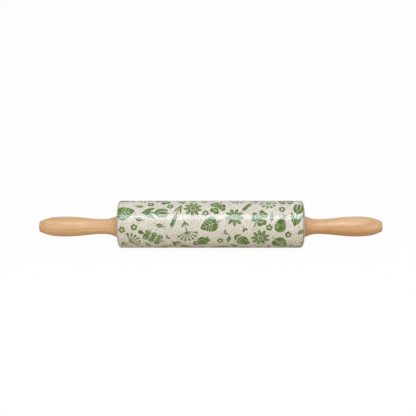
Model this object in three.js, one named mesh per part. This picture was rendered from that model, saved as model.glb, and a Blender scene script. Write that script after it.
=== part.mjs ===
import * as THREE from "three";

// Millimetres. X runs along the pin from the left handle to the right one, and Z is up.
// The origin is the middle of the barrel, on the line that the barrel turns about.

// Between two faces that touch on the real object.
const SEAT_GAP = 0.3;

const BARREL_LENGTH = 245;
const BARREL_DIAMETER = 63;
const BARREL_WALL = 9.5;
const BARREL_END_WALL = 13;
const BARREL_EDGE_ROUND = 1.8;
const BARREL_HOLLOW_ROUND = 6;
// The hole through each end wall is left as fired, and is loose on the bush.
const BARREL_HOLE_DIAMETER = 21.4;
const BARREL_HOLE_ROUND = 1;

const BUSH_DIAMETER = 14;
const BUSH_OVERHANG = 1;
const BUSH_CHAMFER = 0.6;

const RING_DIAMETER = 14;
const RING_THICKNESS = 1;
const RING_GRIP = 0.5;
const RING_OPENING = THREE.MathUtils.degToRad(70);

const WASHER_THICKNESS = 1;
const WASHER_INSET = 1;

const SPINDLE_DIAMETER = 10;
const SPINDLE_CHAMFER = 0.6;
const SPINDLE_THREAD_DIAMETER = 8;
const SPINDLE_THREAD_LENGTH = 26;

const INSERT_DIAMETER = 12;
const INSERT_LENGTH = 20;
const INSERT_FLANGE_DIAMETER = 16;
const INSERT_FLANGE_THICKNESS = 1.5;
const INSERT_RECESS = 0.6;
const INSERT_BARB_HEIGHT = 0.7;
const INSERT_BARBS = 4;

const HANDLE_LENGTH = 104.8;
const HANDLE_BUTT_DIAMETER = 14.7;
const HANDLE_BUTT_ROUND = 1.3;
const HANDLE_BUTT_SLOPE = 0.47;
const HANDLE_BELLY_DIAMETER = 26.8;
const HANDLE_BELLY_FROM_BUTT = 33.2;
const HANDLE_NECK_DIAMETER = 20.2;
const HANDLE_NECK_FROM_BUTT = 85.9;
const HANDLE_ROOT_DIAMETER = 30;
const HANDLE_ROOT_ROUND = 0.8;
const HANDLE_SOCKET_SPARE = 1.5;
// How far each end of a curve keeps its direction, as a share of the stretch it crosses.
const BUTT_PULL = 0.23;
const BELLY_PULL_BACK = 0.55;
const BELLY_PULL = 0.47;
const NECK_PULL = 0.42;

// A flat side of the barrel faces down, so that the pin can lie on it.
const BARREL_SIDES = 64;
const HANDLE_SIDES = 32;
const HARDWARE_SIDES = 24;
const ROUND_STEPS = 3;
const CURVE_STEPS = 7;

const barrelRadius = BARREL_DIAMETER / 2;
const holeRadius = BARREL_HOLE_DIAMETER / 2;
const bushRadius = BUSH_DIAMETER / 2;
const spindleRadius = SPINDLE_DIAMETER / 2;
const threadRadius = SPINDLE_THREAD_DIAMETER / 2;
const rootRadius = HANDLE_ROOT_DIAMETER / 2;

// The bushes lie on the bottom of the loose holes, so the spindle hangs below the barrel's middle.
const spindleDrop = holeRadius - bushRadius - SEAT_GAP;
const slipRadius = spindleRadius + SEAT_GAP;

// Places along X at the right-hand end. The left-hand end is the same, turned about.
const barrelEnd = BARREL_LENGTH / 2;
const washerFace = barrelEnd + SEAT_GAP;
const rootFace = washerFace + WASHER_THICKNESS + SEAT_GAP;
const insertFace = rootFace + INSERT_RECESS;
const flangeBack = insertFace + INSERT_FLANGE_THICKNESS;
const insertEnd = insertFace + INSERT_LENGTH;
const shoulder = insertFace - SEAT_GAP;
const threadEnd = shoulder + SPINDLE_THREAD_LENGTH;
const buttFace = rootFace + HANDLE_LENGTH;
const bushInner = barrelEnd - BARREL_END_WALL - BUSH_OVERHANG;
const ringOuter = bushInner - SEAT_GAP;
const ringInner = ringOuter - RING_THICKNESS;
const ringInnerRadius = spindleRadius - RING_GRIP;
const grooveRadius = ringInnerRadius - SEAT_GAP;

const glaze = new THREE.MeshStandardMaterial({ name: "glaze", color: 0xd8cfc4, roughness: 0.15 });
const beech = new THREE.MeshStandardMaterial({ name: "beech", color: 0xddb287, roughness: 0.55 });
const steel = new THREE.MeshStandardMaterial({
  name: "steel",
  color: 0xb4b6b8,
  metalness: 0.9,
  roughness: 0.35,
});
const brass = new THREE.MeshStandardMaterial({
  name: "brass",
  color: 0xc7a75a,
  metalness: 0.9,
  roughness: 0.3,
});
const nylon = new THREE.MeshStandardMaterial({ name: "nylon", color: 0xe6e2d8, roughness: 0.6 });

const at = (x, radius) => new THREE.Vector2(radius, x);

// Points of a rounded corner about a centre, from one angle to another, in degrees from +X.
function corner(x, radius, round, from, to) {
  const points = [];
  for (let step = 0; step <= ROUND_STEPS; step += 1) {
    const angle = THREE.MathUtils.degToRad(from + ((to - from) * step) / ROUND_STEPS);
    points.push(at(x + round * Math.cos(angle), radius + round * Math.sin(angle)));
  }
  return points;
}

// A piece turned about X from its half section.
function turned(name, outline, sides, material) {
  const geometry = new THREE.LatheGeometry(outline, sides, Math.PI / sides);
  geometry.rotateZ(-Math.PI / 2);
  const mesh = new THREE.Mesh(geometry, material);
  mesh.name = name;
  return mesh;
}

function mirrored(points) {
  return points.map((point) => new THREE.Vector2(point.x, -point.y)).reverse();
}

function barrel() {
  const hollowRadius = barrelRadius - BARREL_WALL;
  const hollowEnd = barrelEnd - BARREL_END_WALL;
  const outside = [
    ...corner(barrelEnd - BARREL_HOLE_ROUND, holeRadius + BARREL_HOLE_ROUND, BARREL_HOLE_ROUND, -90, 0),
    ...corner(barrelEnd - BARREL_EDGE_ROUND, barrelRadius - BARREL_EDGE_ROUND, BARREL_EDGE_ROUND, 0, 90),
  ];
  const inside = [
    ...corner(hollowEnd - BARREL_HOLLOW_ROUND, hollowRadius - BARREL_HOLLOW_ROUND, BARREL_HOLLOW_ROUND, 90, 0),
    at(hollowEnd, holeRadius),
  ];
  const outline = [...mirrored(inside), ...inside, ...outside, ...mirrored(outside)];
  outline.push(outline[0].clone());
  return turned("barrel", outline.reverse(), BARREL_SIDES, glaze);
}

function spindle() {
  const half = [
    at(ringInner - SEAT_GAP, spindleRadius),
    at(ringInner - SEAT_GAP, grooveRadius),
    at(ringOuter + SEAT_GAP, grooveRadius),
    at(ringOuter + SEAT_GAP, spindleRadius),
    at(shoulder, spindleRadius),
    at(shoulder, threadRadius),
    at(threadEnd - SPINDLE_CHAMFER, threadRadius),
    at(threadEnd, threadRadius - SPINDLE_CHAMFER),
    at(threadEnd, 0),
  ];
  return turned("spindle", [...mirrored(half), ...half], HARDWARE_SIDES, steel);
}

function bush(name) {
  const outline = [
    at(bushInner, slipRadius),
    at(barrelEnd, slipRadius),
    at(barrelEnd, bushRadius - BUSH_CHAMFER),
    at(barrelEnd - BUSH_CHAMFER, bushRadius),
    at(bushInner + BUSH_CHAMFER, bushRadius),
    at(bushInner, bushRadius - BUSH_CHAMFER),
    at(bushInner, slipRadius),
  ];
  return turned(name, outline.reverse(), HARDWARE_SIDES, nylon);
}

function retainingRing(name) {
  const from = (Math.PI + RING_OPENING) / 2;
  const to = from + 2 * Math.PI - RING_OPENING;
  const shape = new THREE.Shape();
  shape.absarc(0, 0, RING_DIAMETER / 2, from, to, false);
  shape.absarc(0, 0, ringInnerRadius, to, from, true);
  shape.closePath();
  const geometry = new THREE.ExtrudeGeometry(shape, {
    depth: RING_THICKNESS,
    bevelEnabled: false,
    curveSegments: HARDWARE_SIDES,
  });
  geometry.rotateY(Math.PI / 2);
  geometry.translate(ringInner, 0, 0);
  const mesh = new THREE.Mesh(geometry, steel);
  mesh.name = name;
  return mesh;
}

function washer(name) {
  const washerBack = washerFace + WASHER_THICKNESS;
  const washerRadius = rootRadius - WASHER_INSET;
  const outline = [
    at(washerFace, slipRadius),
    at(washerBack, slipRadius),
    at(washerBack, washerRadius),
    at(washerFace, washerRadius),
    at(washerFace, slipRadius),
  ];
  return turned(name, outline.reverse(), HANDLE_SIDES, nylon);
}

function insert(name) {
  const boreRadius = threadRadius + SEAT_GAP;
  const barbRadius = INSERT_DIAMETER / 2;
  const barbPitch = (insertEnd - flangeBack) / INSERT_BARBS;
  const outline = [
    at(insertFace, boreRadius),
    at(insertEnd, boreRadius),
    at(insertEnd, barbRadius - INSERT_BARB_HEIGHT),
  ];
  for (let barb = 0; barb < INSERT_BARBS; barb += 1) {
    const foot = insertEnd - barb * barbPitch;
    outline.push(at(foot - barbPitch, barbRadius));
    if (barb < INSERT_BARBS - 1) {
      outline.push(at(foot - barbPitch, barbRadius - INSERT_BARB_HEIGHT));
    }
  }
  outline.push(
    at(flangeBack, INSERT_FLANGE_DIAMETER / 2),
    at(insertFace, INSERT_FLANGE_DIAMETER / 2),
    at(insertFace, boreRadius),
  );
  return turned(name, outline.reverse(), HARDWARE_SIDES, brass);
}

// The outside of the handle from the butt to the root, in distance from the butt.
function handleCurve() {
  const buttRadius = HANDLE_BUTT_DIAMETER / 2;
  const bellyRadius = HANDLE_BELLY_DIAMETER / 2;
  const neckRadius = HANDLE_NECK_DIAMETER / 2;
  const belly = HANDLE_BELLY_FROM_BUTT;
  const neck = HANDLE_NECK_FROM_BUTT;
  const waist = neck - belly;
  const lean = THREE.MathUtils.radToDeg(Math.atan(HANDLE_BUTT_SLOPE));
  const butt = corner(HANDLE_BUTT_ROUND, buttRadius - HANDLE_BUTT_ROUND, HANDLE_BUTT_ROUND, 180, 90 + lean);
  const buttEnd = butt.pop();
  const toBelly = new THREE.CubicBezierCurve(
    buttEnd,
    at(buttEnd.y + BUTT_PULL * belly, buttEnd.x + HANDLE_BUTT_SLOPE * BUTT_PULL * belly),
    at(belly - BELLY_PULL_BACK * belly, bellyRadius),
    at(belly, bellyRadius),
  );
  const toNeck = new THREE.CubicBezierCurve(
    at(belly, bellyRadius),
    at(belly + BELLY_PULL * waist, bellyRadius),
    at(neck - NECK_PULL * waist, neckRadius),
    at(neck, neckRadius),
  );
  const points = [
    ...butt,
    ...toBelly.getPoints(CURVE_STEPS),
    ...toNeck.getPoints(CURVE_STEPS).slice(1),
  ];
  const flare = HANDLE_LENGTH - HANDLE_ROOT_ROUND - neck;
  const rise = rootRadius - neckRadius;
  const flareRadius = (flare ** 2 + rise ** 2) / (2 * rise);
  for (let step = 1; step <= CURVE_STEPS; step += 1) {
    const along = (flare * step) / CURVE_STEPS;
    points.push(at(neck + along, neckRadius + flareRadius - Math.sqrt(flareRadius ** 2 - along ** 2)));
  }
  return points;
}

function handle(name) {
  const socketEnd = threadEnd + HANDLE_SOCKET_SPARE;
  const rodRadius = threadRadius + SEAT_GAP;
  const insertRadius = INSERT_DIAMETER / 2 + SEAT_GAP;
  const flangeRadius = INSERT_FLANGE_DIAMETER / 2 + SEAT_GAP;
  const outside = handleCurve().map((point) => at(buttFace - point.y, point.x));
  const outline = [
    at(buttFace, 0),
    ...outside,
    at(rootFace, rootRadius - HANDLE_ROOT_ROUND),
    at(rootFace, flangeRadius),
    at(flangeBack + SEAT_GAP, flangeRadius),
    at(flangeBack + SEAT_GAP, insertRadius),
    at(insertEnd + SEAT_GAP, insertRadius),
    at(insertEnd + SEAT_GAP, rodRadius),
    at(socketEnd, rodRadius),
    at(socketEnd, 0),
  ];
  return turned(name, outline.reverse(), HANDLE_SIDES, beech);
}

// Everything that sits on one end of the spindle, drawn at its right-hand end.
function end(side) {
  const group = new THREE.Group();
  group.name = `${side}_end`;
  group.add(
    bush(`${side}_bush`),
    retainingRing(`${side}_retaining_ring`),
    washer(`${side}_washer`),
    insert(`${side}_insert`),
    handle(`${side}_handle`),
  );
  return group;
}

const leftEnd = end("left");
leftEnd.rotation.z = Math.PI;

const axle = new THREE.Group();
axle.name = "axle";
axle.position.z = -spindleDrop;
axle.add(spindle(), leftEnd, end("right"));

const part = new THREE.Group();
part.name = "rolling_pin";
part.add(barrel(), axle);

export default part;
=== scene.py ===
import math
import random

import bpy
import numpy as np
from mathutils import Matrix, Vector
from mathutils.geometry import interpolate_bezier


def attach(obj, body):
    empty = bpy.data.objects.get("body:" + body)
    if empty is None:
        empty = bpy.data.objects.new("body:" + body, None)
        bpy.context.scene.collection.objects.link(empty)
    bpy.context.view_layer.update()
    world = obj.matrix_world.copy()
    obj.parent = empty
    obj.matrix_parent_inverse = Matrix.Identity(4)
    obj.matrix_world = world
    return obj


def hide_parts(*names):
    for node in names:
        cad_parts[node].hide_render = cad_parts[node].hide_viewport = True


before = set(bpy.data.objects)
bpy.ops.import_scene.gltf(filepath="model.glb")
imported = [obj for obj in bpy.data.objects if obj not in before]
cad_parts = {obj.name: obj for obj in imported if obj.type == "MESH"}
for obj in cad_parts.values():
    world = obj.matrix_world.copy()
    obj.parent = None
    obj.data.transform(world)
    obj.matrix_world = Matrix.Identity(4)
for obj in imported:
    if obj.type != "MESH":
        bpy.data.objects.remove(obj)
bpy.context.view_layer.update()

# Sizes are in millimetres, as a drawing gives them, and MM takes them to the scene's metres.
MM = 0.001

BARREL_LENGTH = 245.0
BARREL_RADIUS = 31.5
BARREL_WALL = 9.5
BARREL_END_WALL = 13.0
BARREL_EDGE_ROUND = 3.2
BARREL_HOLLOW_ROUND = 6.0
BARREL_HOLE_RADIUS = 10.7
BARREL_HOLE_ROUND = 1.0
BARREL_STEPS_ROUND = 128
BARREL_STEPS_ALONG = 160
GIRTH = 2 * math.pi * BARREL_RADIUS

# The print: how many motifs are laid at most, how many places are tried for each, and how they keep
# apart. Two of a kind lie at least TWIN_SPACING half lengths from each other.
PRINT_SEED = 11
LARGE_COUNT = 100
LARGE_TRIES = 60
SMALL_COUNT = 120
SMALL_TRIES = 40
PRINT_GAP = 1.1
SNUG_REACH = 2.5
SNUG_MARGIN = 2.0
NEIGHBOUR_DISTANCE = 50.0
TWIN_SPACING = 3
OVAL_POINTS = 16
# On a motif's sheet, the ink goes from none to full over INK_EDGE, and INK_WOBBLE roughens that edge.
# The ink is thin in small spots where the noise lies below INK_WEAR.
INK_EDGE = (0.03, -0.006)
INK_WOBBLE = 0.05
INK_WEAR = (0.2, 0.34)

# The glaze towards each end, measured in from the end face. The line of pooled glaze begins and ends
# softly, and its depth of colour is given for the left end and the right.
BARE_RIM = 1.8
RIM_SOFTNESS = 0.5
PRINT_SOFTNESS = 0.15
POOL_START = (3.3, 2.5)
POOL_STOP = (1.3, 1.8)
POOL_SWAY = 0.6
POOL_DEPTH = (0.32, 1.0)

# How smooth the glaze is, how much smoother and glossier the print, and the height of the ripples.
GLAZE_ROUGHNESS = 0.145
GLAZE_RIPPLE = 0.035
PRINT_SMOOTHNESS = 0.06
PRINT_GLOSS = 0.56

# The bake map, in shares of its side: the printed side of the barrel, and a strip beside it.
BAKE_MARGIN = 0.005
BAKE_SIDE_WIDTH = 0.8
BAKE_STRIP_START = 0.815
BAKE_STRIP_WIDTH = 0.18

HANDLE_ROOT_FACE = 124.1
HANDLE_LENGTH = 104.8
HANDLE_DROP = 3.4
HANDLE_BUTT_RADIUS = 7.35
HANDLE_BUTT_ROUND = 1.3
HANDLE_BUTT_SLOPE = 0.47
HANDLE_BELLY_RADIUS = 13.4
HANDLE_BELLY_FROM_BUTT = 33.2
HANDLE_NECK_RADIUS = 10.1
HANDLE_NECK_FROM_BUTT = 85.9
HANDLE_ROOT_RADIUS = 15.0
HANDLE_ROOT_ROUND = 0.8
HANDLE_STEPS_ROUND = 96
HANDLE_STEPS_CURVE = 28
HANDLE_STEPS_FLARE = 20
# How far each end of a curve keeps its direction, as a share of the stretch it crosses.
BUTT_PULL = 0.23
BELLY_PULL_BACK = 0.55
BELLY_PULL = 0.47
NECK_PULL = 0.42
SOCKET_ROD_RADIUS = 4.3
SOCKET_ROD_DEPTH = 27.8
SOCKET_INSERT_RADIUS = 6.3
SOCKET_INSERT_DEPTH = 20.9
SOCKET_FLANGE_RADIUS = 8.3
SOCKET_FLANGE_DEPTH = 2.4

GROWTH_RING = 5.2
# The wood of the left handle and of the right: where the heart of the tree lay beside it, as y and z,
# how much darker wood it holds, how deep its colour is, and how thick its lacquer.
TREE_HEART_Y = (-7.0, 27.0)
TREE_HEART_Z = (-55.0, -37.0)
HEARTWOOD_SHARE = (0.04, 0.7)
WOOD_DEPTH = (0.04, 0.0)
LACQUER = (0.29, 0.63)

STEEL_ROUGHNESS = 0.22
BRASS_ROUGHNESS = 0.2

# Steps in each rounded corner, the distance within which points are joined, the distance that counts
# as none, and the angle up to which faces that meet are shaded as one.
ROUND_STEPS = 6
WELD_DISTANCE = 0.002
SAME_PLACE = 0.01
SMOOTH_ANGLE = math.radians(35)

CAMERA_DISTANCE = 880.0
CAMERA_ELEVATION = math.radians(25.0)
CAMERA_LENS = 56.85
CAMERA_SENSOR = 36.0
PICTURE_SIDE = 416.0
PIN_PIXEL = (210.8, 224.2)

STRIP_ABOVE_VIEW = math.radians(34.9)
STRIP_SIZE = (640.0, 400.0)
STRIP_WATTS = 7.1
STRIP_COLOUR = (0.69, 0.8, 1.0)
FADE_ABOVE_VIEW = math.radians(19.5)
FADE_SIZE = (640.0, 250.0)
FADE_WATTS = 0.2
FRONT_ABOVE_VIEW = math.radians(24.5)
FRONT_SIZE = (700.0, 500.0)
FRONT_WATTS = 4.8
LAMP_DISTANCE = 1000.0
ROOM_STRENGTH = 0.62
MIRRORED_WHITE = 0.1
FLOOR_GLOW = 0.955
FLOOR_SIDE = 14000.0


def srgb(red, green, blue):
    """A colour as a picture editor shows it, from 0 to 255, for a colour socket."""
    def linear(value):
        share = value / 255
        if share <= 0.04045:
            return share / 12.92
        return ((share + 0.055) / 1.055) ** 2.4
    return (linear(red), linear(green), linear(blue), 1.0)


GLAZE_GROUND = srgb(231, 227, 219)
GLAZE_OATMEAL = srgb(195, 186, 170)
GLAZE_SPECK = srgb(146, 124, 98)
GLAZE_RIM = srgb(194, 186, 168)
GLAZE_POOL = srgb(146, 137, 117)
PRINT_GREEN = srgb(90, 130, 32)
PRINT_DARK_GREEN = srgb(53, 91, 8)
PRINT_THIN_GREEN = srgb(132, 163, 84)
STONEWARE_BUFF = srgb(210, 199, 182)
STONEWARE_GREY = srgb(188, 176, 159)
BEECH_PALE = srgb(236, 198, 155)
BEECH_TAN = srgb(205, 153, 103)
BEECH_HEART = srgb(197, 139, 83)
BEECH_FLECK = srgb(166, 116, 72)
BEECH_END_GRAIN = srgb(187, 127, 74)
STEEL_BRIGHT = srgb(186, 188, 190)
STEEL_DULL = srgb(150, 150, 150)
BRASS_BRIGHT = srgb(205, 172, 98)
BRASS_DULL = srgb(158, 126, 66)
NYLON_MILKY = srgb(233, 229, 219)
NYLON_SHADE = srgb(220, 214, 201)
FLOOR_WHITE = srgb(252, 252, 252)
FLOOR_GREY = srgb(209, 200, 182)


class Field:
    """A number that varies over a surface, held as an output of a material's nodes."""

    def __init__(self, tree, socket):
        self.tree = tree
        self.socket = socket

    def math(self, operation, *others):
        node = self.tree.nodes.new("ShaderNodeMath")
        node.operation = operation
        for slot, value in zip(node.inputs, (self, *others)):
            if isinstance(value, Field):
                self.tree.links.new(value.socket, slot)
            else:
                slot.default_value = value
        return Field(self.tree, node.outputs[0])

    def __add__(self, other):
        return self.math("ADD", other)

    def __sub__(self, other):
        return self.math("SUBTRACT", other)

    def __rsub__(self, other):
        return self.math("MULTIPLY_ADD", -1.0, other)

    def __mul__(self, other):
        return self.math("MULTIPLY", other)

    def __rmul__(self, other):
        return self.math("MULTIPLY", other)

    def __truediv__(self, other):
        return self.math("DIVIDE", other)

    def __neg__(self):
        return self.math("MULTIPLY", -1.0)

    def __abs__(self):
        return self.math("ABSOLUTE")


def least(*fields):
    """Joins shapes: inside any of them."""
    result = fields[0]
    for field in fields[1:]:
        result = result.math("MINIMUM", field)
    return result


def most(*fields):
    """Keeps what shapes share: inside all of them."""
    result = fields[0]
    for field in fields[1:]:
        result = result.math("MAXIMUM", field)
    return result


def hypot(across, along):
    return (across * across + along * along).math("SQRT")


def repeat(field, pitch):
    """The same stretch again and again, from minus half a pitch to plus half a pitch."""
    return field.math("WRAP", pitch / 2, -pitch / 2)


def by_end(side, left, right):
    """A number for each end of the pin, where side is -1 towards the left and 1 towards the right."""
    return side * ((right - left) / 2) + (right + left) / 2


class Finish:
    """A node material, with short names for the nodes that it is drawn with."""

    def __init__(self, name):
        self.material = bpy.data.materials.new(name)
        self.material.use_nodes = True
        self.tree = self.material.node_tree
        self.surface = self.tree.nodes["Principled BSDF"]

    def node(self, kind, **settings):
        made = self.tree.nodes.new(kind)
        for name, value in settings.items():
            setattr(made, name, value)
        return made

    def join(self, source, target):
        self.tree.links.new(getattr(source, "socket", source), target)

    def place(self):
        """The place on the piece in millimetres."""
        spot = self.node("ShaderNodeTexCoord").outputs["Object"]
        scale = self.node("ShaderNodeVectorMath", operation="SCALE")
        scale.inputs["Scale"].default_value = 1 / MM
        self.join(spot, scale.inputs[0])
        return scale.outputs[0]

    def parts(self, vector):
        split = self.node("ShaderNodeSeparateXYZ")
        self.join(vector, split.inputs[0])
        return [Field(self.tree, socket) for socket in split.outputs]

    def noise(self, vector, grain, detail, stretch=(1.0, 1.0, 1.0)):
        """Cloudy noise with lumps of that many millimetres, drawn out along the axes by stretch."""
        scale = self.node("ShaderNodeVectorMath", operation="MULTIPLY")
        scale.inputs[1].default_value = [1 / (grain * share) for share in stretch]
        self.join(vector, scale.inputs[0])
        noise = self.node("ShaderNodeTexNoise")
        noise.inputs["Scale"].default_value = 1.0
        noise.inputs["Detail"].default_value = detail
        self.join(scale.outputs[0], noise.inputs["Vector"])
        return Field(self.tree, noise.outputs[0])

    def step(self, field, low, high):
        """0 where field is below low, 1 above high, and even between them."""
        node = self.node("ShaderNodeMapRange")
        node.inputs["From Min"].default_value = low
        node.inputs["From Max"].default_value = high
        self.join(field, node.inputs["Value"])
        return Field(self.tree, node.outputs[0])

    def blend(self, share, first, second):
        """A colour between two, each a colour or an output of another blend."""
        mix = self.node("ShaderNodeMix", data_type="RGBA")
        self.join(share, mix.inputs["Factor"])
        for slot, colour in ((mix.inputs[6], first), (mix.inputs[7], second)):
            if isinstance(colour, tuple):
                slot.default_value = colour
            else:
                self.join(colour, slot)
        return mix.outputs[2]

    def bump(self, height, depth):
        """Relief of that many millimetres from a field between 0 and 1."""
        node = self.node("ShaderNodeBump")
        node.inputs["Distance"].default_value = depth * MM
        node.inputs["Strength"].default_value = 1.0
        self.join(height, node.inputs["Height"])
        self.join(node.outputs[0], self.surface.inputs["Normal"])


# Each motif of the print is drawn on its own small sheet. along runs up its stem from -1 to 1 and
# across is measured from the stem. A shape is a field that is below 0 inside it.

def blade(start, end, half_width, along, across):
    """A leaf that is pointed at both ends."""
    share = (along - start) / (end - start)
    return abs(across) - 4 * half_width * share * (1 - share)


def oval(middle, half_length, half_width, along, across):
    return (hypot((along - middle) / half_length, across / half_width) - 1) * half_width


def dot(along, across, radius):
    return hypot(along, across) - radius


def bar(start, end, half_width, along, across):
    return most(abs(across) - half_width, abs(along - (start + end) / 2) - (end - start) / 2)


def without(shape, *carved):
    """A shape with others carved out of it."""
    return most(shape, *[-each for each in carved])


def wedge(along, across, count):
    """One wedge of a round motif, as the place out along its middle and beside it."""
    radius = hypot(along, across)
    angle = repeat(across.math("ARCTAN2", along), 2 * math.pi / count)
    return radius * angle.math("COSINE"), radius * angle.math("SINE")


def row_of_leaves(along, aside, lean, pitch):
    """Leaves in a row up a stem: the place of each leaf's foot, the place out along it and beside it."""
    foot = along - aside / math.tan(lean)
    offset = repeat(foot, pitch)
    return foot - offset, aside / math.sin(lean), offset * math.sin(lean)


def tilted(along, aside, foot, lean):
    """The place out along a leaf that leaves the stem at foot, and beside it."""
    up = along - foot
    cos, sin = math.cos(lean), math.sin(lean)
    return up * cos + aside * sin, aside * cos - up * sin


def poppy_head(along, across):
    aside = abs(across)
    pod = oval(0.08, 0.56, 0.56, along, across)
    seams = least(abs(oval(0.08, 0.56, 0.3, along, across)), aside) - 0.028
    seams = most(seams, abs(along - 0.08) - 0.42)
    notch = most(abs(repeat(across, 0.2)) - 0.03, 0.72 - along)
    cap = without(bar(0.6, 0.84, 0.32, along, across), notch)
    leaf_out, leaf_beside = tilted(along, aside, -0.95, math.radians(42))
    leaf = blade(0.0, 0.62, 0.11, leaf_out, leaf_beside)
    return least(without(pod, seams), cap, leaf, bar(-1, -0.4, 0.036, along, across))


def wheat(along, across):
    aside = abs(across)
    foot, out, beside = row_of_leaves(along, aside, math.radians(40), 0.25)
    in_ear = abs(foot - 0.13) - 0.5
    grain = most(oval(0.22, 0.17, 0.064, out, beside), in_ear)
    awn = most(abs(beside) - 0.014, out - 0.52, in_ear)
    top = oval(0.8, 0.16, 0.06, along, across)
    leaf_out, leaf_beside = tilted(along, aside, -0.94, math.radians(30))
    leaf = blade(0.0, 0.62, 0.075, leaf_out, leaf_beside)
    return least(grain, awn, top, leaf, bar(-1, 0.7, 0.026, along, across))


def round_leaf_sprig(along, across):
    aside = abs(across)
    beside = repeat(along + 0.12, 0.45)
    foot = along - beside
    size = 1.0 - 0.28 * (foot + 0.4)
    leaf = dot(beside, aside - 0.26 * size, 0.19)
    rib = least(most(abs(beside) - 0.024, 0.15 - aside), abs(leaf + 0.075) - 0.014)
    rows = abs(foot + 0.12) - 0.6
    stalk = most(abs(beside) - 0.026, aside - 0.18, rows)
    crown = oval(0.8, 0.18, 0.13, along, across)
    return least(most(without(leaf, rib), rows), stalk, crown, bar(-1, 0.8, 0.03, along, across))


def tulip(along, across):
    aside = abs(across)
    cup = oval(0.46, 0.5, 0.36, along, across)
    teeth = abs(repeat(across, 0.27)) * 1.7 + along - 0.98
    heart = blade(0.08, 0.92, 0.13, along, across)
    crease = most(abs(aside - 0.19) - 0.02, abs(along - 0.5) - 0.24)
    bloom = without(most(cup, teeth * 0.5), abs(heart) - 0.03, crease)
    leaf_out, leaf_beside = tilted(along, aside, -0.96, math.radians(25))
    leaf = blade(0.0, 1.0, 0.13, leaf_out, leaf_beside)
    rib = bar(0.16, 0.74, 0.022, leaf_out, leaf_beside)
    return least(bloom, without(leaf, rib), bar(-1, 0.05, 0.034, along, across))


def lavender(along, across):
    aside = abs(across)
    foot, out, beside = row_of_leaves(along, aside, math.radians(34), 0.21)
    bud = most(oval(0.13, 0.1, 0.05, out, beside), abs(foot - 0.32) - 0.43)
    tip = oval(0.88, 0.1, 0.05, along, across)
    leaf_out, leaf_beside = tilted(along, aside, -0.96, math.radians(17))
    leaf = blade(0.0, 0.86, 0.05, leaf_out, leaf_beside)
    return least(bud, tip, leaf, bar(-1, 0.82, 0.02, along, across))


def dill(along, across):
    radius = hypot(along, across)
    angle = across.math("ARCTAN2", along)
    off_ray = repeat(angle, math.radians(23))
    out, beside = radius * off_ray.math("COSINE"), radius * off_ray.math("SINE")
    fan = abs(angle) - math.radians(80)
    ray = most(bar(0.0, 0.8, 0.022, out, beside), fan)
    seeds = most(least(dot(out - 0.86, beside, 0.1), oval(0.62, 0.09, 0.05, out, beside)), fan)
    leaf_out, leaf_beside = tilted(along, abs(across), -0.86, math.radians(38))
    leaf = blade(0.0, 0.58, 0.07, leaf_out, leaf_beside)
    return least(ray, seeds, leaf, bar(-1, 0.05, 0.028, along, across))


def daisy(along, across):
    out, beside = wedge(along, across, 9)
    radius = hypot(along, across)
    tongue = without(oval(0.65, 0.34, 0.165, out, beside), bar(0.5, 0.84, 0.026, out, beside))
    seed_out, seed_beside = wedge(along, across, 6)
    seed = dot(seed_out - 0.125, seed_beside, 0.036)
    return least(most(tongue, 0.31 - radius), without(radius - 0.23, seed))


def clover(along, across):
    out, beside = wedge(along - 0.16, across, 3)
    aside = abs(beside)
    lobe = dot(out - 0.53, aside - 0.2, 0.255)
    foot = most(aside - 1.1 * out + 0.02, 0.66 * out + 0.75 * aside - 0.5)
    mark = abs(hypot(out - 0.12, aside) - 0.36) - 0.036
    leaves = without(least(lobe, foot), most(mark, aside - 0.3), bar(0.08, 0.62, 0.026, out, aside))
    bend = across - 0.2 * (along + 0.05) * (along + 0.05)
    return least(leaves, bar(-0.98, 0.12, 0.042, along, bend))


def heart_leaf(along, across):
    aside = abs(across)
    share = ((along + 0.72) / 1.7).math("MAXIMUM", 0.0)
    outline = aside - 1.75 * share.math("SQRT") * (1 - share)
    notch = blade(-0.95, -0.45, 0.13, along, across)
    foot, out, beside = row_of_leaves(along, aside, math.radians(52), 0.3)
    veins = most(abs(beside) - 0.034, out - 0.66 + 0.45 * foot, abs(foot) - 0.5)
    rib = bar(-0.6, 0.7, 0.034, along, across)
    return least(without(outline * 0.7, notch, veins, rib), bar(-1, -0.5, 0.04, along, across))


def seed_head(along, across):
    out, beside = wedge(along, across, 11)
    ray = bar(0.14, 0.8, 0.022, out, beside)
    tuft = dot(out - 0.87, beside, 0.11)
    hair = most(abs(abs(beside) - 0.42 * (out - 0.5)) - 0.022, 0.5 - out, out - 0.8)
    return least(ray, tuft, hair, hypot(along, across) - 0.17)


def pear(along, across):
    body = dot(along + 0.38, across, 0.56).math("SMOOTH_MIN", dot(along - 0.22, across, 0.28), 0.5)
    gleam = abs(repeat(dot(along + 0.38, across, 0.46), 0.16)) - 0.028
    gleam = most(gleam, across + 0.12, abs(along + 0.34) - 0.3)
    freckle = most(dot(repeat(along, 0.2), repeat(across - 0.3, 0.2), 0.04), 0.12 - across)
    leaf_out, leaf_beside = tilted(along, across, 0.58, math.radians(48))
    rib = bar(0.1, 0.4, 0.018, leaf_out, leaf_beside)
    leaf = without(blade(0.0, 0.56, 0.12, leaf_out, leaf_beside), rib)
    stalk = bar(0.4, 0.96, 0.04, along, across - 0.1 * along * along)
    return least(without(body, gleam, freckle), leaf, stalk)


def sprout(along, across):
    leaf_out, leaf_beside = tilted(along, abs(across), -0.4, math.radians(42))
    leaf = blade(0.0, 1.25, 0.3, leaf_out, leaf_beside)
    return least(leaf, bar(-1.0, -0.2, 0.1, along, across))


def blossom(along, across):
    out, beside = wedge(along, across, 5)
    ring = abs(hypot(along, across) - 0.26) - 0.075
    return without(dot(out - 0.56, beside, 0.37), ring)


def small_leaf(along, across):
    leaf = without(blade(-0.7, 1.0, 0.4, along, across), bar(-0.5, 0.6, 0.05, along, across))
    return least(leaf, bar(-1.0, -0.45, 0.07, along, across))


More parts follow.
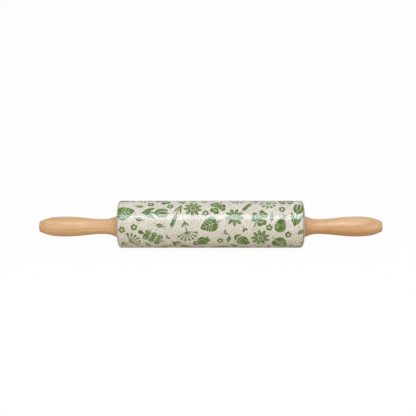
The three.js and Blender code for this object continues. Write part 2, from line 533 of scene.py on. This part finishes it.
# Each motif: its drawing, and half its length and half its width on the barrel.
LARGE_MOTIFS = (
    (poppy_head, 13.0, 9.2),
    (daisy, 12.0, 12.0),
    (wheat, 19.5, 8.6),
    (dill, 15.0, 13.0),
    (clover, 13.5, 11.5),
    (tulip, 18.0, 8.2),
    (heart_leaf, 14.0, 10.4),
    (lavender, 18.0, 5.6),
    (round_leaf_sprig, 18.5, 9.2),
    (seed_head, 11.6, 11.6),
    (pear, 13.0, 8.8),
)
SMALL_MOTIFS = (
    (sprout, 4.2, 4.2),
    (small_leaf, 6.4, 3.0),
    (blossom, 4.8, 4.8),
)
MOTIFS = LARGE_MOTIFS + SMALL_MOTIFS


class Stamp:
    """One motif printed on the barrel, at a place along it and round it, in millimetres."""

    def __init__(self, kind, along, around, turn):
        self.kind = kind
        self.along = along
        self.around = around
        self.cos = math.cos(turn)
        self.sin = math.sin(turn)
        self.half_length = MOTIFS[kind][1]
        self.half_width = MOTIFS[kind][2]
        self.edge = self.rim(PRINT_GAP)

    def offset(self, along, around):
        """How far places lie from the motif's middle, along the barrel and the short way round it."""
        return along - self.along, (around - self.around + GIRTH / 2) % GIRTH - GIRTH / 2

    def sheet_place(self, along, around):
        """Places on the barrel as along and across on this motif's sheet, where 1 is half its length."""
        right, up = self.offset(along, around)
        return (
            (right * self.cos + up * self.sin) / self.half_length,
            (up * self.cos - right * self.sin) / self.half_length,
        )

    def closeness(self, along, around, margin=0.0):
        """Below 1 inside the oval that the motif fills, with a margin round it."""
        u, v = self.sheet_place(along, around)
        return np.hypot(
            u * self.half_length / (self.half_length + margin),
            v * self.half_length / (self.half_width + margin),
        )

    def rim(self, margin):
        """Points round the oval, with a margin."""
        angles = np.arange(OVAL_POINTS) * 2 * math.pi / OVAL_POINTS
        u = (self.half_length + margin) * np.cos(angles)
        v = (self.half_width + margin) * np.sin(angles)
        return self.along + u * self.cos - v * self.sin, self.around + u * self.sin + v * self.cos

    def distance(self, other):
        return math.hypot(*self.offset(other.along, other.around))

    def clear_of(self, other):
        if self.kind == other.kind and self.distance(other) < TWIN_SPACING * self.half_length:
            return False
        return other.closeness(*self.edge).min() > 1 and self.closeness(*other.edge).min() > 1


def snug_place(chance, kind, stamps, tries):
    """The place, out of many tried, that lies clear of the other motifs and closest against them."""
    best, best_score = None, -1
    for _ in range(tries):
        stamp = Stamp(
            kind,
            chance.uniform(-BARREL_LENGTH / 2, BARREL_LENGTH / 2),
            chance.uniform(0, GIRTH),
            chance.uniform(0, 2 * math.pi),
        )
        near = [each for each in stamps if each.distance(stamp) < NEIGHBOUR_DISTANCE]
        if not all(stamp.clear_of(each) for each in near):
            continue
        reach = stamp.rim(SNUG_REACH)
        touched = np.zeros(len(reach[0]), bool)
        for each in near:
            touched |= each.closeness(*reach, SNUG_MARGIN) < 1
        if touched.sum() > best_score:
            best, best_score = stamp, touched.sum()
    return best


def lay_out_print():
    """Scatters the motifs over the unrolled barrel, large ones first, then small ones in the gaps."""
    chance = random.Random(PRINT_SEED)
    stamps = []
    for count, tries, first, kinds in (
        (LARGE_COUNT, LARGE_TRIES, 0, len(LARGE_MOTIFS)),
        (SMALL_COUNT, SMALL_TRIES, len(LARGE_MOTIFS), len(SMALL_MOTIFS)),
    ):
        for number in range(count):
            stamp = snug_place(chance, first + number % kinds, stamps, tries)
            if stamp:
                stamps.append(stamp)
    return stamps


def rounded(x, radius, size, start, stop):
    """Points of a rounded corner about a centre, from one angle to another, in degrees from +X."""
    points = []
    for step in range(ROUND_STEPS + 1):
        angle = math.radians(start + (stop - start) * step / ROUND_STEPS)
        points.append((x + size * math.cos(angle), radius + size * math.sin(angle)))
    return points


def other_end(points):
    """The same points mirrored to the left end, in the order that carries a section on."""
    return [(-x, radius) for x, radius in reversed(points)]


def turn_on_lathe(name, outline, drop, steps):
    """Draws a half section point by point and spins it about a line along X, drop below the origin."""
    bpy.ops.object.select_all(action="DESELECT")
    bpy.ops.mesh.primitive_plane_add(size=MM)
    piece = bpy.context.object
    piece.name = name
    bpy.ops.object.mode_set(mode="EDIT")
    bpy.ops.mesh.select_all(action="SELECT")
    bpy.ops.mesh.merge(type="CENTER")
    start_x, start_radius = outline[0]
    bpy.ops.transform.translate(value=(start_x * MM, 0, (start_radius - drop) * MM))
    for (x, radius), (next_x, next_radius) in zip(outline, outline[1:]):
        move = ((next_x - x) * MM, 0, (next_radius - radius) * MM)
        bpy.ops.mesh.extrude_region_move(TRANSFORM_OT_translate={"value": move})
    bpy.ops.mesh.select_all(action="SELECT")
    bpy.ops.mesh.spin(steps=steps, angle=2 * math.pi, center=(0, 0, -drop * MM), axis=(1, 0, 0))
    bpy.ops.mesh.select_all(action="SELECT")
    bpy.ops.mesh.remove_doubles(threshold=WELD_DISTANCE * MM)
    bpy.ops.mesh.normals_make_consistent(inside=False)
    bpy.ops.object.mode_set(mode="OBJECT")
    bpy.ops.object.shade_smooth_by_angle(angle=SMOOTH_ANGLE)
    return piece


def barrel_outline():
    """Half section of the hollow barrel, closed: its hollow, its holes, its ends and its side."""
    end = BARREL_LENGTH / 2
    hollow_end = end - BARREL_END_WALL
    hollow_radius = BARREL_RADIUS - BARREL_WALL
    edge = BARREL_EDGE_ROUND
    mouth = BARREL_HOLE_ROUND
    cove = BARREL_HOLLOW_ROUND
    inside = [
        *rounded(hollow_end - cove, hollow_radius - cove, cove, 90, 0),
        (hollow_end, BARREL_HOLE_RADIUS),
    ]
    outside = [
        *rounded(end - mouth, BARREL_HOLE_RADIUS + mouth, mouth, -90, 0),
        *rounded(end - edge, BARREL_RADIUS - edge, edge, 0, 90),
    ]
    straight = 2 * (end - edge)
    side = [
        (end - edge - straight * step / BARREL_STEPS_ALONG, BARREL_RADIUS)
        for step in range(1, BARREL_STEPS_ALONG)
    ]
    outline = [*other_end(inside), *inside, *outside, *side, *other_end(outside)]
    outline.append(outline[0])
    return outline


def around_barrel(point):
    """How far round the barrel a point lies, in millimetres."""
    return math.atan2(point.z, point.y) % (2 * math.pi) * BARREL_RADIUS


def stamp_print(barrel, stamps):
    """Gives each face of the barrel the sheet of the motif nearest to it, as a UV map, and its number."""
    mesh = barrel.data
    middles = [face.center / MM for face in mesh.polygons]
    along = np.array([middle.x for middle in middles])
    around = np.array([around_barrel(middle) for middle in middles])
    closest = np.argmin([stamp.closeness(along, around) for stamp in stamps], axis=0)
    sheet = mesh.uv_layers.new(name="motif_sheet")
    numbers = mesh.attributes.new("motif_number", "FLOAT", "FACE")
    for face, choice in zip(mesh.polygons, closest):
        stamp = stamps[choice]
        numbers.data[face.index].value = stamp.kind
        for corner in face.loop_indices:
            point = mesh.vertices[mesh.loops[corner].vertex_index].co / MM
            sheet.uv[corner].vector = stamp.sheet_place(point.x, around_barrel(point))


def bake_map(barrel):
    """Lays the barrel out flat for export: the printed side over most of the map, and beside it a strip
    that runs from the rim of each end face in through the hole to the middle of the hollow."""
    mesh = barrel.data
    flat = mesh.uv_layers.new(name="OFBake")
    end = BARREL_LENGTH / 2
    hollow_end = end - BARREL_END_WALL
    rim = BARREL_RADIUS - BARREL_EDGE_ROUND
    to_hollow = rim - BARREL_HOLE_RADIUS + BARREL_END_WALL
    to_middle = to_hollow + BARREL_RADIUS - BARREL_WALL - BARREL_HOLE_RADIUS + hollow_end
    for face in mesh.polygons:
        middle = face.center / MM
        face_around = around_barrel(middle)
        on_side = math.hypot(middle.y, middle.z) > rim
        in_hollow = abs(middle.x) < hollow_end + SAME_PLACE
        for corner in face.loop_indices:
            point = mesh.vertices[mesh.loops[corner].vertex_index].co / MM
            radius = math.hypot(point.y, point.z)
            turn = (around_barrel(point) - face_around + GIRTH / 2) % GIRTH - GIRTH / 2 + face_around
            share = turn / GIRTH
            if on_side:
                left = BAKE_MARGIN + BAKE_SIDE_WIDTH * share
                height = (1 - 2 * BAKE_MARGIN) * point.x / BARREL_LENGTH
            else:
                inward = rim - radius + end - abs(point.x)
                if in_hollow:
                    inward = to_hollow + radius - BARREL_HOLE_RADIUS + hollow_end - abs(point.x)
                left = BAKE_STRIP_START + BAKE_STRIP_WIDTH * share
                height = 0.5 - BAKE_MARGIN - (0.5 - 2 * BAKE_MARGIN) * inward / to_middle
                height = math.copysign(height, point.x)
            flat.uv[corner].vector = (left, 0.5 + height)


def printed_glaze():
    """Cream speckled glaze with a green print that is glossier than the ground. The print stops short of
    each end, where the glaze pools in a darker line and then thins over the rim."""
    finish = Finish("printed_glaze")
    place = finish.place()
    x = finish.parts(place)[0]
    end = BARREL_LENGTH / 2
    rim_start = end - BARE_RIM
    sheet_node = finish.node("ShaderNodeUVMap", uv_map="motif_sheet")
    along, across, _ = finish.parts(sheet_node.outputs[0])
    number_node = finish.node("ShaderNodeAttribute", attribute_name="motif_number")
    number = Field(finish.tree, number_node.outputs["Fac"])

    wobble = finish.noise(place, 2.2, detail=3.0)
    shape = None
    for index, (draw, _, _) in enumerate(MOTIFS):
        here = number.math("COMPARE", float(index), 0.4)
        drawn = draw(along, across) * here
        shape = drawn if shape is None else shape + drawn
    ink = finish.step(shape + (wobble - 0.5) * INK_WOBBLE, *INK_EDGE)
    printed = finish.step(abs(x), rim_start + PRINT_SOFTNESS, rim_start - PRINT_SOFTNESS)
    wear = finish.noise(place, 0.9, detail=2.0)
    ink = ink * printed * finish.step(wear, *INK_WEAR)

    cloud = finish.noise(place, 14.0, detail=4.0)
    fine = finish.noise(place, 1.25, detail=2.0)
    grit = finish.noise(place, 0.8, detail=1.0)
    oatmeal = finish.step(fine + (cloud - 0.5) * 0.2, 0.44, 0.62)
    ground = finish.blend(oatmeal, GLAZE_GROUND, GLAZE_OATMEAL)
    rim = finish.step(abs(x), rim_start, rim_start + RIM_SOFTNESS)
    ground = finish.blend(rim, ground, GLAZE_RIM)
    inset = end - abs(x) + (cloud - 0.5) * POOL_SWAY
    pool = finish.step(inset, *POOL_START) * finish.step(inset, *POOL_STOP)
    pool = pool * by_end(x.math("SIGN"), *POOL_DEPTH)
    ground = finish.blend(pool, ground, GLAZE_POOL)

    patch = finish.noise(place, 5.0, detail=3.0)
    green = finish.blend(finish.step(patch, 0.36, 0.58), PRINT_DARK_GREEN, PRINT_GREEN)
    green = finish.blend(finish.step(wear * 0.4 + wobble * 0.6, 0.54, 0.7), green, PRINT_THIN_GREEN)
    colour = finish.blend(ink, ground, green)
    colour = finish.blend(finish.step(grit, 0.64, 0.74), colour, GLAZE_SPECK)
    finish.join(colour, finish.surface.inputs["Base Color"])

    ripple = finish.noise(place, 9.0, detail=1.0)
    roughness = fine * 0.05 - ink * PRINT_SMOOTHNESS + GLAZE_ROUGHNESS
    finish.join(roughness, finish.surface.inputs["Roughness"])
    finish.surface.inputs["Specular IOR Level"].default_value = 0.3
    finish.join(ink * PRINT_GLOSS, finish.surface.inputs["Coat Weight"])
    finish.surface.inputs["Coat Roughness"].default_value = 0.06
    finish.bump(ripple, GLAZE_RIPPLE)
    return finish.material


def bare_stoneware():
    """Unglazed fired clay of the end faces, the holes and the hollow."""
    finish = Finish("bare_stoneware")
    place = finish.place()
    grit = finish.noise(place, 0.8, detail=4.0)
    cloud = finish.noise(place, 9.0, detail=3.0)
    colour = finish.blend(finish.step(cloud, 0.35, 0.7), STONEWARE_BUFF, STONEWARE_GREY)
    colour = finish.blend(finish.step(grit, 0.62, 0.75) * 0.6, colour, GLAZE_SPECK)
    finish.join(colour, finish.surface.inputs["Base Color"])
    finish.join(grit * 0.2 + 0.62, finish.surface.inputs["Roughness"])
    finish.bump(grit, 0.15)
    return finish.material


def lacquered_beech():
    """Pale turned beech: growth rings cut by the turning, long fibres, short flecks and satin lacquer."""
    finish = Finish("lacquered_beech")
    place = finish.place()
    x, y, z = finish.parts(place)
    sway = finish.noise(place, 30.0, detail=2.0, stretch=(2.2, 1.0, 1.0)) - 0.5
    side = x.math("SIGN")
    heart = hypot(y - by_end(side, *TREE_HEART_Y) + sway * 14.0, z - by_end(side, *TREE_HEART_Z))
    ring = repeat(heart, GROWTH_RING) / GROWTH_RING + 0.5
    late_wood = finish.step(ring, 0.35, 0.92) * finish.step(ring, 1.0, 0.94)
    band = finish.noise(place, 8.0, detail=2.0, stretch=(9.0, 1.0, 1.0))
    streak = finish.noise(place, 1.6, detail=2.0, stretch=(14.0, 1.0, 1.0))
    fibre = finish.noise(place, 0.6, detail=3.0, stretch=(45.0, 1.0, 1.0))
    fleck = finish.noise(place, 0.42, detail=1.0, stretch=(6.0, 1.0, 1.0))
    heartwood = finish.step(z + y * 0.5 + sway * 9.0, -3.0, -12.0) * by_end(side, *HEARTWOOD_SHARE)
    facing = finish.parts(finish.node("ShaderNodeTexCoord").outputs["Normal"])[0]
    end_grain = finish.step(abs(facing), 0.25, 0.9)
    pores = finish.noise(place, 1.2, detail=3.0)
    tone = late_wood * 0.26 + finish.step(band, 0.32, 0.68) * 0.28 + by_end(side, *WOOD_DEPTH)
    tone = tone + finish.step(streak, 0.3, 0.7) * 0.3 + finish.step(fibre, 0.25, 0.8) * 0.24
    tone = tone + (pores - 0.5) * finish.step(abs(facing), 0.25, 0.42) * 1.8
    colour = finish.blend(tone, BEECH_PALE, BEECH_TAN)
    colour = finish.blend(heartwood, colour, BEECH_HEART)
    colour = finish.blend(finish.step(fleck, 0.64, 0.74) * 0.35, colour, BEECH_FLECK)
    end_grain = end_grain * (finish.step(pores, 0.4, 0.7) * 0.4 + 0.6)
    colour = finish.blend(end_grain, colour, BEECH_END_GRAIN)
    finish.join(colour, finish.surface.inputs["Base Color"])
    finish.join(fibre * 0.18 + 0.42, finish.surface.inputs["Roughness"])
    finish.surface.inputs["Specular IOR Level"].default_value = 0.4
    finish.join(by_end(side, *LACQUER), finish.surface.inputs["Coat Weight"])
    finish.surface.inputs["Coat Roughness"].default_value = 0.36
    finish.bump(fibre, 0.05)
    return finish.material


def drawn_metal(name, bright, dull, roughness):
    """Drawn or turned bar: fine scratches round it and a little tarnish."""
    finish = Finish(name)
    place = finish.place()
    scratch = finish.noise(place, 0.25, detail=2.0, stretch=(1.0, 30.0, 30.0))
    tarnish = finish.noise(place, 5.0, detail=4.0)
    colour = finish.blend(finish.step(tarnish, 0.4, 0.75), bright, dull)
    finish.join(colour, finish.surface.inputs["Base Color"])
    finish.surface.inputs["Metallic"].default_value = 1.0
    finish.join(scratch * 0.2 + roughness, finish.surface.inputs["Roughness"])
    finish.bump(scratch, 0.01)
    return finish.material


def moulded_nylon():
    """Milky nylon with a faint moulded grain."""
    finish = Finish("moulded_nylon")
    place = finish.place()
    grain = finish.noise(place, 0.5, detail=2.0)
    cloud = finish.noise(place, 6.0, detail=2.0)
    colour = finish.blend(finish.step(cloud, 0.35, 0.7), NYLON_MILKY, NYLON_SHADE)
    finish.join(colour, finish.surface.inputs["Base Color"])
    finish.join(grain * 0.15 + 0.45, finish.surface.inputs["Roughness"])
    finish.bump(grain, 0.02)
    return finish.material


def make_barrel():
    barrel = turn_on_lathe("printed_barrel", barrel_outline(), 0.0, BARREL_STEPS_ROUND)
    stamp_print(barrel, lay_out_print())
    bake_map(barrel)
    barrel.data.materials.append(printed_glaze())
    barrel.data.materials.append(bare_stoneware())
    for face in barrel.data.polygons:
        middle = face.center / MM
        if math.hypot(middle.y, middle.z) < BARREL_RADIUS - BARREL_EDGE_ROUND:
            face.material_index = 1
    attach(barrel, "barrel")
    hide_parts("barrel")


def handle_outline():
    """Half section of the right handle, from the middle of its butt round to the bottom of its socket."""
    butt = HANDLE_ROOT_FACE + HANDLE_LENGTH
    belly = HANDLE_BELLY_FROM_BUTT
    neck = HANDLE_NECK_FROM_BUTT
    waist = neck - belly
    lean = math.degrees(math.atan(HANDLE_BUTT_SLOPE))
    soft = HANDLE_BUTT_ROUND
    curve = rounded(soft, HANDLE_BUTT_RADIUS - soft, soft, 180, 90 + lean)
    start = Vector((*curve.pop(), 0))
    lead = BUTT_PULL * belly
    bends = (
        (
            start,
            start + Vector((lead, HANDLE_BUTT_SLOPE * lead, 0)),
            Vector((belly - BELLY_PULL_BACK * belly, HANDLE_BELLY_RADIUS, 0)),
            Vector((belly, HANDLE_BELLY_RADIUS, 0)),
        ),
        (
            Vector((belly, HANDLE_BELLY_RADIUS, 0)),
            Vector((belly + BELLY_PULL * waist, HANDLE_BELLY_RADIUS, 0)),
            Vector((neck - NECK_PULL * waist, HANDLE_NECK_RADIUS, 0)),
            Vector((neck, HANDLE_NECK_RADIUS, 0)),
        ),
    )
    for bend in bends:
        curve.extend((point.x, point.y) for point in interpolate_bezier(*bend, HANDLE_STEPS_CURVE)[:-1])
    flare = HANDLE_LENGTH - HANDLE_ROOT_ROUND - neck
    rise = HANDLE_ROOT_RADIUS - HANDLE_NECK_RADIUS
    sweep = (flare ** 2 + rise ** 2) / (2 * rise)
    for step in range(HANDLE_STEPS_FLARE + 1):
        along = flare * step / HANDLE_STEPS_FLARE
        curve.append((neck + along, HANDLE_NECK_RADIUS + sweep - math.sqrt(sweep ** 2 - along ** 2)))
    root = HANDLE_ROOT_FACE
    return [
        (butt, 0.0),
        *((butt - along, radius) for along, radius in curve),
        (root, HANDLE_ROOT_RADIUS - HANDLE_ROOT_ROUND),
        (root, SOCKET_FLANGE_RADIUS),
        (root + SOCKET_FLANGE_DEPTH, SOCKET_FLANGE_RADIUS),
        (root + SOCKET_FLANGE_DEPTH, SOCKET_INSERT_RADIUS),
        (root + SOCKET_INSERT_DEPTH, SOCKET_INSERT_RADIUS),
        (root + SOCKET_INSERT_DEPTH, SOCKET_ROD_RADIUS),
        (root + SOCKET_ROD_DEPTH, SOCKET_ROD_RADIUS),
        (root + SOCKET_ROD_DEPTH, 0.0),
    ]


def make_handles():
    beech = lacquered_beech()
    outline = handle_outline()
    for side, section in (("left", other_end(outline)), ("right", outline)):
        handle = turn_on_lathe(f"{side}_beech_handle", section, HANDLE_DROP, HANDLE_STEPS_ROUND)
        handle.data.materials.append(beech)
        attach(handle, "axle")
        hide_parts(f"{side}_handle")


def dress_hardware():
    steel = drawn_metal("drawn_steel", STEEL_BRIGHT, STEEL_DULL, STEEL_ROUGHNESS)
    brass = drawn_metal("turned_brass", BRASS_BRIGHT, BRASS_DULL, BRASS_ROUGHNESS)
    nylon = moulded_nylon()
    for node, finish in (
        ("spindle", steel),
        ("left_retaining_ring", steel),
        ("right_retaining_ring", steel),
        ("left_insert", brass),
        ("right_insert", brass),
        ("left_bush", nylon),
        ("right_bush", nylon),
        ("left_washer", nylon),
        ("right_washer", nylon),
    ):
        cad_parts[node].material_slots[0].material = finish


def seen_white(tree, to_eye, in_mirrors):
    """A share that is to_eye where the camera looks, in_mirrors in reflections and glass, and else 0."""
    path = tree.nodes.new("ShaderNodeLightPath")
    mirrored = Field(tree, path.outputs["Is Glossy Ray"])
    mirrored = mirrored.math("MAXIMUM", Field(tree, path.outputs["Is Transmission Ray"]))
    return Field(tree, path.outputs["Is Camera Ray"]) * to_eye + mirrored * in_mirrors


def make_floor():
    bpy.ops.object.select_all(action="DESELECT")
    bpy.ops.mesh.primitive_plane_add(size=FLOOR_SIDE * MM, location=(0, 0, -BARREL_RADIUS * MM))
    floor = bpy.context.object
    floor.name = "floor"
    finish = Finish("white_floor")
    colour = finish.blend(seen_white(finish.tree, 1.0, 0.0), FLOOR_GREY, FLOOR_WHITE)
    finish.join(colour, finish.surface.inputs["Base Color"])
    finish.surface.inputs["Roughness"].default_value = 0.9
    finish.surface.inputs["Specular IOR Level"].default_value = 0.0
    glow = finish.node("ShaderNodeEmission")
    mix = finish.node("ShaderNodeMixShader")
    finish.join(seen_white(finish.tree, FLOOR_GLOW, MIRRORED_WHITE), mix.inputs[0])
    finish.join(finish.surface.outputs[0], mix.inputs[1])
    finish.join(glow.outputs[0], mix.inputs[2])
    finish.join(mix.outputs[0], finish.tree.nodes["Material Output"].inputs["Surface"])
    floor.data.materials.append(finish.material)


def light_room():
    world = bpy.data.worlds.new("white_room")
    world.use_nodes = True
    tree = world.node_tree
    background = tree.nodes["Background"]
    background.inputs["Color"].default_value = (1, 1, 1, 1)
    missing = 1 - ROOM_STRENGTH
    strength = seen_white(tree, missing, missing * MIRRORED_WHITE) + ROOM_STRENGTH
    tree.links.new(strength.socket, background.inputs["Strength"])
    bpy.context.scene.world = world


def hang_lamp(name, above_view, size, watts):
    """A soft lamp in front of the pin, some way above the camera as the pin sees it."""
    lamp = bpy.data.lights.new(name, "AREA")
    lamp.shape = "RECTANGLE"
    lamp.size = size[0] * MM
    lamp.size_y = size[1] * MM
    lamp.energy = watts
    holder = bpy.data.objects.new(name, lamp)
    bpy.context.scene.collection.objects.link(holder)
    height = CAMERA_ELEVATION + above_view
    away = Vector((0, -math.cos(height), math.sin(height)))
    holder.location = away * LAMP_DISTANCE * MM
    holder.rotation_euler = (-away).to_track_quat("-Z", "Y").to_euler()
    return holder


def light_pin():
    """A broad lamp for light and shade, and two that only show as the bright band and its fading edge."""
    front = hang_lamp("front_lamp", FRONT_ABOVE_VIEW, FRONT_SIZE, FRONT_WATTS)
    front.visible_glossy = False
    for name, above_view, size, watts in (
        ("strip_lamp", STRIP_ABOVE_VIEW, STRIP_SIZE, STRIP_WATTS),
        ("fade_lamp", FADE_ABOVE_VIEW, FADE_SIZE, FADE_WATTS),
    ):
        strip = hang_lamp(name, above_view, size, watts)
        strip.data.color = STRIP_COLOUR
        strip.visible_diffuse = False


def set_camera():
    lens = bpy.data.cameras.new("camera")
    lens.lens = CAMERA_LENS
    lens.sensor_width = CAMERA_SENSOR
    lens.shift_x = (PICTURE_SIDE / 2 - PIN_PIXEL[0]) / PICTURE_SIDE
    lens.shift_y = (PIN_PIXEL[1] - PICTURE_SIDE / 2) / PICTURE_SIDE
    camera = bpy.data.objects.new("camera", lens)
    bpy.context.scene.collection.objects.link(camera)
    away = Vector((0, -math.cos(CAMERA_ELEVATION), math.sin(CAMERA_ELEVATION)))
    camera.location = away * CAMERA_DISTANCE * MM
    camera.rotation_euler = (-away).to_track_quat("-Z", "Y").to_euler()
    bpy.context.scene.camera = camera


make_barrel()
make_handles()
dress_hardware()
make_floor()
light_room()
light_pin()
set_camera()
bpy.context.scene.view_settings.view_transform = "Standard"
